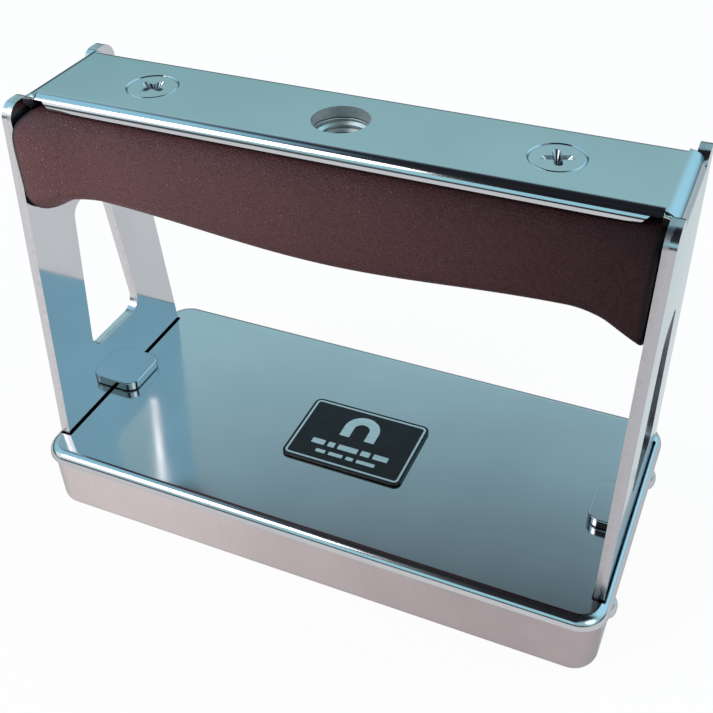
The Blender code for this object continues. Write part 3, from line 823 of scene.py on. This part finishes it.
def rolled_edge(side):
    """The plate's long edge, rolled down and cut off at a slant."""
    inner = FLAT_HALF - 1.2 * MM
    hollow = TOP_HALF - FRAME_SHEET + ROLL_THINNING
    lower = FRAME_TOP - ROLL_HEIGHT
    profile = rounded(
        [
            (side * inner, FRAME_UNDERSIDE, 0),
            (side * hollow, FRAME_UNDERSIDE, 0),
            (side * hollow, lower, 0),
            (side * TOP_HALF, lower, ROLL_LIP_RADIUS),
            (side * TOP_HALF, FRAME_TOP, ROLL_RADIUS),
            (side * inner, FRAME_TOP, 0),
        ],
        14,
    )
    reach = ARM_OUTER - FRAME_BEND - 0.1 * MM
    edge = slab(f"rolled_edge_{side}", profile, -reach, reach, facing_x)
    reliefs = []
    for end in (-1, 1):
        ceiling = FRAME_TOP - RELIEF_DEPTH
        floor = lower - 1.0 * MM
        wedge = [
            (end * (ROLL_END_LOW + RELIEF_SLANT), ceiling),
            (end * (ROLL_END_LOW - 0.9 * MM), floor),
            (end * CUT_REACH, floor),
            (end * CUT_REACH, ceiling),
        ]
        low, high = sorted((side * (RELIEF_HALF - 2.0 * MM), side * (TOP_HALF + 5 * MM)))
        reliefs.append(slab("relief", wedge, low, high, facing_y))
    return combine(edge, reliefs)


def lug(side):
    """The stop lug, bent inwards from the arm just over the lid."""
    root = side * (ARM_INNER + FRAME_SHEET / 2)
    tip = side * (ARM_INNER - LUG_REACH)
    outline = [
        (root, -LUG_HALF, 0),
        (tip, -LUG_HALF, LUG_RADIUS),
        (tip, LUG_HALF, LUG_RADIUS),
        (root, LUG_HALF, 0),
    ]
    bottom = LID_TOP + LUG_GAP
    tab = slab(f"lug_{side}", rounded(outline), bottom, bottom + FRAME_SHEET, lying)
    soften(tab, 0.4 * MM, 3, 60)
    bake(tab)
    return tab


def arm_window():
    outline = [
        (-WINDOW_BOTTOM_HALF, WINDOW_BOTTOM, WINDOW_RADIUS),
        (WINDOW_BOTTOM_HALF, WINDOW_BOTTOM, WINDOW_RADIUS),
        (WINDOW_TOP_HALF, WINDOW_TOP, WINDOW_RADIUS),
        (-WINDOW_TOP_HALF, WINDOW_TOP, WINDOW_RADIUS),
    ]
    return slab("window", rounded(outline, 14), -CUT_REACH, CUT_REACH, facing_x)


def lance_hole():
    """The hole that a lug leaves in its arm."""
    half = LUG_HALF + LANCE_GAP
    top = LID_TOP + LUG_GAP
    bottom = top - LUG_REACH + LANCE_GAP
    outline = [
        (-half, bottom, 0.5 * MM),
        (half, bottom, 0.5 * MM),
        (half, top, 0),
        (-half, top, 0),
    ]
    return slab("lance", rounded(outline, 4), -CUT_REACH, CUT_REACH, facing_x)


def guide_slot(y):
    """The upright slot in which an arm's foot slides over a rivet."""
    radius = 0.98 * RIVET_HOLE
    outline = [
        (y - RIVET_HOLE, RIVET_Z - TRAVEL - RIVET_HOLE, radius),
        (y + RIVET_HOLE, RIVET_Z - TRAVEL - RIVET_HOLE, radius),
        (y + RIVET_HOLE, RIVET_Z + RIVET_HOLE, radius),
        (y - RIVET_HOLE, RIVET_Z + RIVET_HOLE, radius),
    ]
    return slab("guide", rounded(outline, 8), -CUT_REACH, CUT_REACH, facing_x)


def tenon_slot(y):
    """The slot that holds a tenon of the yoke plate."""
    yoke_low, yoke_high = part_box("yoke_plate")
    low, high = yoke_low.z - FIT_GAP, yoke_high.z + FIT_GAP
    outline = [
        (y - TENON_HALF, low),
        (y + TENON_HALF, low),
        (y + TENON_HALF, high),
        (y - TENON_HALF, high),
    ]
    return slab("tenon", outline, -CUT_REACH, CUT_REACH, facing_x)


def countersink(side):
    rim = SCREW_HEAD + SINK_GAP
    above = 1.0 * MM
    profile = [(0.0, above), (rim + above, above), (rim - SINK_DEPTH, -SINK_DEPTH), (0.0, -SINK_DEPTH)]
    sink = lathe("countersink", profile, 96)
    sink.data.transform(Matrix.Translation((side * SCREW_X, 0, FRAME_TOP)))
    return sink


def frame_cutters():
    cutters = [arm_window(), lance_hole()]
    cutters += [guide_slot(y) for y in (-RIVET_Y, RIVET_Y)]
    cutters += [tenon_slot(y) for y in (-TENON_Y, TENON_Y)]
    cutters += [countersink(side) for side in (-1, 1)]
    cutters.append(drill(0, FRAME_TOP, POLE_HOLE, 10 * MM, -10 * MM, 96))
    return cutters


def mark_sheared_faces(target):
    """The punched edges of the arms take the second material, bored holes the third."""
    for face in target.data.polygons:
        in_arm = abs(face.center.x) > ARM_INNER - 0.2 * MM
        across_sheet = abs(face.normal.x) < 0.2
        on_bend = abs(face.center.y) < BEND_HALF + 0.1 * MM and face.center.z > FRAME_TOP - FRAME_BEND
        cut_end = abs(face.normal.y) > 0.9
        if across_sheet and in_arm and (cut_end or not on_bend):
            face.material_index = 1
        near_pole = math.hypot(face.center.x, face.center.y) < POLE_HOLE + 0.1 * MM
        if near_pole and abs(face.normal.z) < 0.5:
            face.material_index = 2


def make_handle_frame():
    sheet = make_frame_strip()
    additions = [make(side) for make in (rolled_edge, lug) for side in (-1, 1)]
    additions += [ear(side, edge) for side in (-1, 1) for edge in (-1, 1)]
    combine(sheet, additions, "UNION")
    combine(sheet, frame_cutters())
    clean(sheet)
    sheet.data.materials.append(ZINC_FRAME)
    sheet.data.materials.append(SHEARED)
    sheet.data.materials.append(BORED)
    mark_sheared_faces(sheet)
    soften(sheet, SHEAR_EDGE, 2, 32)
    return place(sheet, "lifting_frame", "zinc_steel", "handle_frame")


# ---- the grip -----------------------------------------------------------------------
def ease(share):
    share = min(max(share, 0.0), 1.0)
    return (1 - math.cos(math.pi * share)) / 2


def grip_section(x, inset, steps=128):
    """Points round the grip at x: boxy above, oval below, drawn in by inset."""
    reach = abs(x)
    end = GRIP_HIGH.x
    end_half = GRIP_HIGH.y
    widening = ease((reach - GRIP_FLARE_X) / (end - GRIP_FLARE_X))
    half_width = GRIP_HALF_WIDTH + (end_half - GRIP_HALF_WIDTH) * widening - inset
    bottom = GRIP_BELLY_Z + (GRIP_NECK_Z - GRIP_BELLY_Z) * ease(reach / GRIP_NECK_X)
    if reach > GRIP_NECK_X:
        share = (reach - GRIP_NECK_X) / (end - GRIP_NECK_X)
        bottom += (GRIP_END_Z - GRIP_NECK_Z) * share**GRIP_DROP_POWER
    bottom += inset
    top = GRIP_HIGH.z - inset * 0.6
    squareness_above = GRIP_SQUARENESS_ABOVE + GRIP_SQUARENESS_FLARE * widening
    points = []
    for angle in turns(steps):
        across, up = math.cos(angle), math.sin(angle)
        power = 2 / (squareness_above if up > 0 else GRIP_SQUARENESS_BELOW)
        height = (top - GRIP_MIDDLE_Z) if up > 0 else (GRIP_MIDDLE_Z - bottom)
        y = half_width * math.copysign(abs(across) ** power, across)
        z = GRIP_MIDDLE_Z + height * math.copysign(abs(up) ** power, up)
        points.append((x, y, z))
    return points


def make_grip():
    end = GRIP_HIGH.x
    edge = GRIP_EDGE_RADIUS
    stations = []
    steps = 8
    for step in range(steps + 1):
        angle = math.radians(90 * step / steps)
        stations.append((end - edge + edge * math.cos(angle), edge * (1 - math.sin(angle))))
    plain = 60
    for step in range(1, plain + 1):
        stations.append(((end - edge) * (1 - step / plain), 0.0))
    stations = [(-x, inset) for x, inset in stations[:-1]] + stations[::-1]
    shape = bmesh.new()
    rings = [[shape.verts.new(p) for p in grip_section(x, inset)] for x, inset in stations]
    bridge(shape, rings)
    shape.faces.new(rings[0])
    shape.faces.new(rings[-1])
    cover = object_from("grip_cover_skin", shape)
    recess = [
        (CORE_LOW.x - FIT_GAP, CORE_LOW.y - FIT_GAP),
        (CORE_HIGH.x + FIT_GAP, CORE_LOW.y - FIT_GAP),
        (CORE_HIGH.x + FIT_GAP, CORE_HIGH.y + FIT_GAP),
        (CORE_LOW.x - FIT_GAP, CORE_HIGH.y + FIT_GAP),
    ]
    cutters = [slab("seat", recess, CORE_LOW.z - FIT_GAP, FRAME_TOP, lying)]
    for side in (-1, 1):
        cutters.append(drill(side * SCREW_X, FRAME_TOP, SCREW_HOLE, 0.0, -17 * MM, 32))
    combine(cover, cutters)
    cover.data.shade_smooth()
    cover.data.set_sharp_from_angle(angle=math.radians(60))
    cover.data.materials.append(VINYL)
    return place(cover, "lifting_frame", "grip_vinyl", "grip_cover")


def make_grip_core():
    """The steel bar inside the grip, with the pole thread cut as real turns."""
    corner = 1.0 * MM
    outline = [
        (CORE_LOW.x, CORE_LOW.y, corner),
        (CORE_HIGH.x, CORE_LOW.y, corner),
        (CORE_HIGH.x, CORE_HIGH.y, corner),
        (CORE_LOW.x, CORE_HIGH.y, corner),
    ]
    core = slab("grip_core_bar", rounded(outline, 3), CORE_LOW.z, CORE_HIGH.z, lying)
    thread_hole = POLE_THREAD + THREAD_DEPTH + 0.1 * MM
    holes = ((-SCREW_X, SCREW_HOLE), (SCREW_X, SCREW_HOLE), (0.0, thread_hole))
    combine(core, [drill(x, CORE_HIGH.z, radius, 10 * MM, -30 * MM, 64) for x, radius in holes])
    soften(core, 0.2 * MM)
    core.data.materials.append(CORE_STEEL)
    place(core, "lifting_frame", "core_steel", "grip_core")
    thread = pole_thread()
    thread.data.materials.append(CORE_STEEL)
    place(thread, "lifting_frame", "core_steel")


def pole_thread():
    """The internal M16 thread: a helical V ridge lining the core's hole."""
    shape = bmesh.new()
    per_turn = 72
    run_out = 12  # steps over which the ridge fades at each end
    pitch = THREAD_PITCH
    length = CORE_HIGH.z - CORE_LOW.z - 0.4 * MM
    count = int(per_turn * (length / pitch - 1))
    outer = POLE_THREAD + THREAD_DEPTH
    rows = []
    for step in range(count + 1):
        angle = 2 * math.pi * step / per_turn
        z = CORE_HIGH.z - 0.2 * MM - pitch * step / per_turn
        fade = min(1.0, step / run_out, (count - step) / run_out)
        crest = outer - THREAD_DEPTH * fade
        row = []
        for radius, drop in ((outer, 0.05), (crest, 0.42), (crest, 0.58), (outer, 0.95)):
            spot = (radius * math.cos(angle), radius * math.sin(angle), z - drop * pitch)
            row.append(shape.verts.new(spot))
        rows.append(row)
    bridge(shape, rows)
    shape.faces.new(rows[0])
    shape.faces.new(rows[-1])
    thread = object_from("pole_thread_turns", shape)
    thread.data.shade_smooth()
    thread.data.set_sharp_from_angle(angle=math.radians(35))
    return thread


def make_grip_screw(node, side):
    """Countersunk cross-recess screw with a flat, soft-rimmed head."""
    top = SCREW_HIGH.z
    head, shank = SCREW_HEAD, SCREW_SHANK
    rim = 0.6 * MM
    point = SCREW_LOW.z - top
    chamfer = 0.8 * MM
    profile = [(0.0, 0.0), (head * 0.5, 0.0)]
    steps = 6
    for step in range(steps + 1):
        angle = math.radians(90 * step / steps)
        profile.append((head - rim + rim * math.sin(angle), -rim * (1 - math.cos(angle))))
    profile += [(shank, -(head - shank) - rim)]
    profile += [(shank, point + chamfer), (shank - chamfer, point)]
    profile += [(0.0, point)]
    screw = lathe(f"{node}_body", profile, 96)
    turn = math.radians(20 * side)
    recess = combine(cross_wing(turn), [cross_wing(turn + math.pi / 2)], "UNION")
    combine(screw, [recess])
    screw.data.transform(Matrix.Translation((side * SCREW_X, 0, top)))
    clean(screw)
    soften(screw, 0.1 * MM, 2, 28)
    screw.data.materials.append(ZINC_SMALL)
    return place(screw, "lifting_frame", "zinc_steel", node)


def cross_wing(turn):
    """One bar of the cross recess, tapering inwards as it goes down."""
    shape = bmesh.new()
    rings = []
    for height, reach, half in CROSS_SECTIONS:
        outline = rounded(rectangle(reach * MM, half * MM, 0.9 * half * MM), 4)
        rings.append([shape.verts.new((u, v, height * MM)) for u, v in outline])
    bridge(shape, rings)
    shape.faces.new(rings[0])
    shape.faces.new(rings[-1])
    wing = object_from("wing", shape)
    wing.data.transform(Matrix.Rotation(turn, 4, "Z"))
    return wing


def dress_hidden_nodes():
    """The CAD's own yoke and magnets are shown, with finished materials."""
    for name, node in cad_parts.items():
        if name.startswith("magnet_"):
            node.data.materials.clear()
            node.data.materials.append(FERRITE)
        elif name == "yoke_plate":
            node.data.materials.clear()
            node.data.materials.append(YOKE_STEEL)


# ---- studio -------------------------------------------------------------------------
CAMERA_AZIMUTH = 24.98
CAMERA_ELEVATION = 38.98
CAMERA_DISTANCE = 326.4 * MM
CAMERA_TARGET = Vector((1.77, 0.95, 59.74)) * MM
CAMERA_ROLL = 1.96
CAMERA_LENS = 52.33  # mm, on a 36 mm sensor

SKY_BY_HEIGHT = (
    # share of full height (sine of the elevation), colour
    (0.00, (0.10, 0.11, 0.12)),
    (0.16, (0.12, 0.14, 0.15)),
    (0.30, (0.50, 0.82, 0.85)),
    (0.60, (0.55, 0.89, 0.96)),
    (0.70, (0.37, 0.58, 0.66)),
    (0.77, (0.19, 0.27, 0.31)),
    (0.84, (0.035, 0.04, 0.05)),
    (1.00, (0.02, 0.022, 0.026)),
)
SKY_PANELS = (
    # azimuth, elevation, half angle, softness, colour
    (-6, 3, 6, 4, (0.04, 0.045, 0.05)),
    (-5, 50, 14, 5, (0.02, 0.022, 0.026)),
    (-11, 23, 9, 5, (0.55, 1.05, 1.18)),
    (137, 33, 22, 18, (0.66, 1.22, 1.48)),
    (-84, 42, 16, 12, (0.50, 0.98, 1.22)),
    (-52, 27, 14, 9, (1.30, 1.40, 1.45)),
    (62, 30, 16, 16, (0.55, 0.90, 0.98)),
)
LIGHTS = (
    # name, azimuth, elevation, distance, size, power, colour
    ("key", -39, 42, 1.4, 0.6, 4.2, (1.0, 0.98, 0.97)),
    ("fill", 60, 30, 1.4, 0.8, 2.0, (0.97, 0.99, 1.0)),
)


def direction(azimuth, elevation):
    a, e = math.radians(azimuth), math.radians(elevation)
    return Vector((math.sin(a) * math.cos(e), -math.cos(a) * math.cos(e), math.sin(e)))


def make_camera():
    data = bpy.data.cameras.new("camera")
    data.sensor_width = 36.0
    data.lens = CAMERA_LENS
    data.clip_start = 0.01
    camera = bpy.data.objects.new("camera", data)
    bpy.context.scene.collection.objects.link(camera)
    back = direction(CAMERA_AZIMUTH, CAMERA_ELEVATION)
    right = Vector((0, 0, 1)).cross(back).normalized()
    up = back.cross(right)
    roll = math.radians(CAMERA_ROLL)
    rolled_right = right * math.cos(roll) - up * math.sin(roll)
    rolled_up = right * math.sin(roll) + up * math.cos(roll)
    turn = Matrix((rolled_right, rolled_up, back)).transposed().to_4x4()
    camera.matrix_world = Matrix.Translation(CAMERA_TARGET + back * CAMERA_DISTANCE) @ turn
    bpy.context.scene.camera = camera


def make_world():
    """A soft studio: cool light round the sides, a dark ceiling, a dim horizon.

    Seen directly it is plain white."""
    world = bpy.data.worlds.new("studio")
    world.use_nodes = True
    bpy.context.scene.world = world
    tree = world.node_tree
    tree.nodes.clear()
    place_on_sky = tree.nodes.new("ShaderNodeTexCoord").outputs["Generated"]
    split = tree.nodes.new("ShaderNodeSeparateXYZ")
    tree.links.new(place_on_sky, split.inputs["Vector"])
    ramp = tree.nodes.new("ShaderNodeValToRGB")
    fill_ramp(ramp.color_ramp, SKY_BY_HEIGHT)
    tree.links.new(split.outputs["Z"], ramp.inputs["Fac"])
    current = ramp.outputs["Color"]
    for azimuth, elevation, half_angle, softness, shade in SKY_PANELS:
        dot = tree.nodes.new("ShaderNodeVectorMath")
        dot.operation = "DOT_PRODUCT"
        dot.inputs[1].default_value = direction(azimuth, elevation)
        tree.links.new(place_on_sky, dot.inputs[0])
        edge = tree.nodes.new("ShaderNodeMapRange")
        edge.interpolation_type = "SMOOTHSTEP"
        edge.inputs["From Min"].default_value = math.cos(math.radians(half_angle + softness))
        edge.inputs["From Max"].default_value = math.cos(math.radians(half_angle))
        tree.links.new(dot.outputs["Value"], edge.inputs["Value"])
        mix = tree.nodes.new("ShaderNodeMix")
        mix.data_type = "RGBA"
        tree.links.new(edge.outputs["Result"], mix.inputs["Factor"])
        tree.links.new(current, mix.inputs[6])
        mix.inputs[7].default_value = (*shade, 1.0)
        current = mix.outputs[2]
    lit = tree.nodes.new("ShaderNodeBackground")
    tree.links.new(current, lit.inputs["Color"])
    seen = tree.nodes.new("ShaderNodeBackground")
    seen.inputs["Color"].default_value = (1, 1, 1, 1)
    path = tree.nodes.new("ShaderNodeLightPath")
    choose = tree.nodes.new("ShaderNodeMixShader")
    tree.links.new(path.outputs["Is Camera Ray"], choose.inputs["Fac"])
    tree.links.new(lit.outputs[0], choose.inputs[1])
    tree.links.new(seen.outputs[0], choose.inputs[2])
    output = tree.nodes.new("ShaderNodeOutputWorld")
    tree.links.new(choose.outputs[0], output.inputs["Surface"])


def make_floor():
    """A plain near-white floor, lit evenly so that only a faint shadow shows."""
    shape = bmesh.new()
    bmesh.ops.create_circle(shape, cap_ends=True, segments=64, radius=FLOOR_RADIUS)
    floor = object_from("floor", shape)
    floor.location.z = -FLOOR_DROP
    paint = Paint("floor_white", (0.10, 0.10, 0.10), 0.9, 0.0)
    paint.shader.inputs["Specular IOR Level"].default_value = 0.0
    paint.shader.inputs["Emission Color"].default_value = (1.0, 0.985, 0.985, 1.0)
    paint.shader.inputs["Emission Strength"].default_value = 0.93
    floor.data.materials.append(paint.material)


def make_light(name, azimuth, elevation, distance, size, power, colour):
    data = bpy.data.lights.new(name, "AREA")
    data.shape = "DISK"
    data.size = size
    data.energy = power
    data.color = colour
    light = bpy.data.objects.new(name, data)
    bpy.context.scene.collection.objects.link(light)
    back = direction(azimuth, elevation)
    light.location = Vector((0, 0, 80 * MM)) + back * distance
    light.rotation_mode = "QUATERNION"
    light.rotation_quaternion = back.to_track_quat("Z", "Y")


def make_studio():
    make_world()
    make_floor()
    for light in LIGHTS:
        make_light(*light)
    make_camera()
    bpy.context.scene.view_settings.view_transform = "Standard"


ZINC_LID = bright_zinc("zinc_lid", 0.10, 0.17)
ZINC_FRAME = bright_zinc("zinc_frame", 0.05, 0.11, (0.48, 0.60, 0.63))
ZINC_SMALL = bright_zinc("zinc_small_parts", 0.10, 0.20)
SHEARED = sheared_edge("zinc_sheared_edge")
BORED = plain_steel("bored_steel", (0.80, 0.78, 0.77), 0.5)
STAINLESS = satin_stainless("satin_stainless")
VINYL = grip_vinyl("leather_grain_vinyl")
PLATE_BLACK = plate_enamel("plate_black")
PLATE_SILVER = plate_silver("plate_silver")
CORE_STEEL = plain_steel("core_steel_bar", (0.74, 0.76, 0.76), 0.42)
YOKE_STEEL = plain_steel("yoke_steel_plate", (0.34, 0.35, 0.37), 0.4)
FERRITE = ferrite("ferrite_ceramic")

make_lid()
make_pan()
for end_name, end_side in (("left", -1), ("right", 1)):
    for row_name in ("front", "rear"):
        make_rivet(f"rivet_{end_name}_{row_name}", end_side)
    make_grip_screw(f"grip_screw_{end_name}", end_side)
make_name_plate()
make_handle_frame()
make_grip()
make_grip_core()
dress_hidden_nodes()
make_studio()
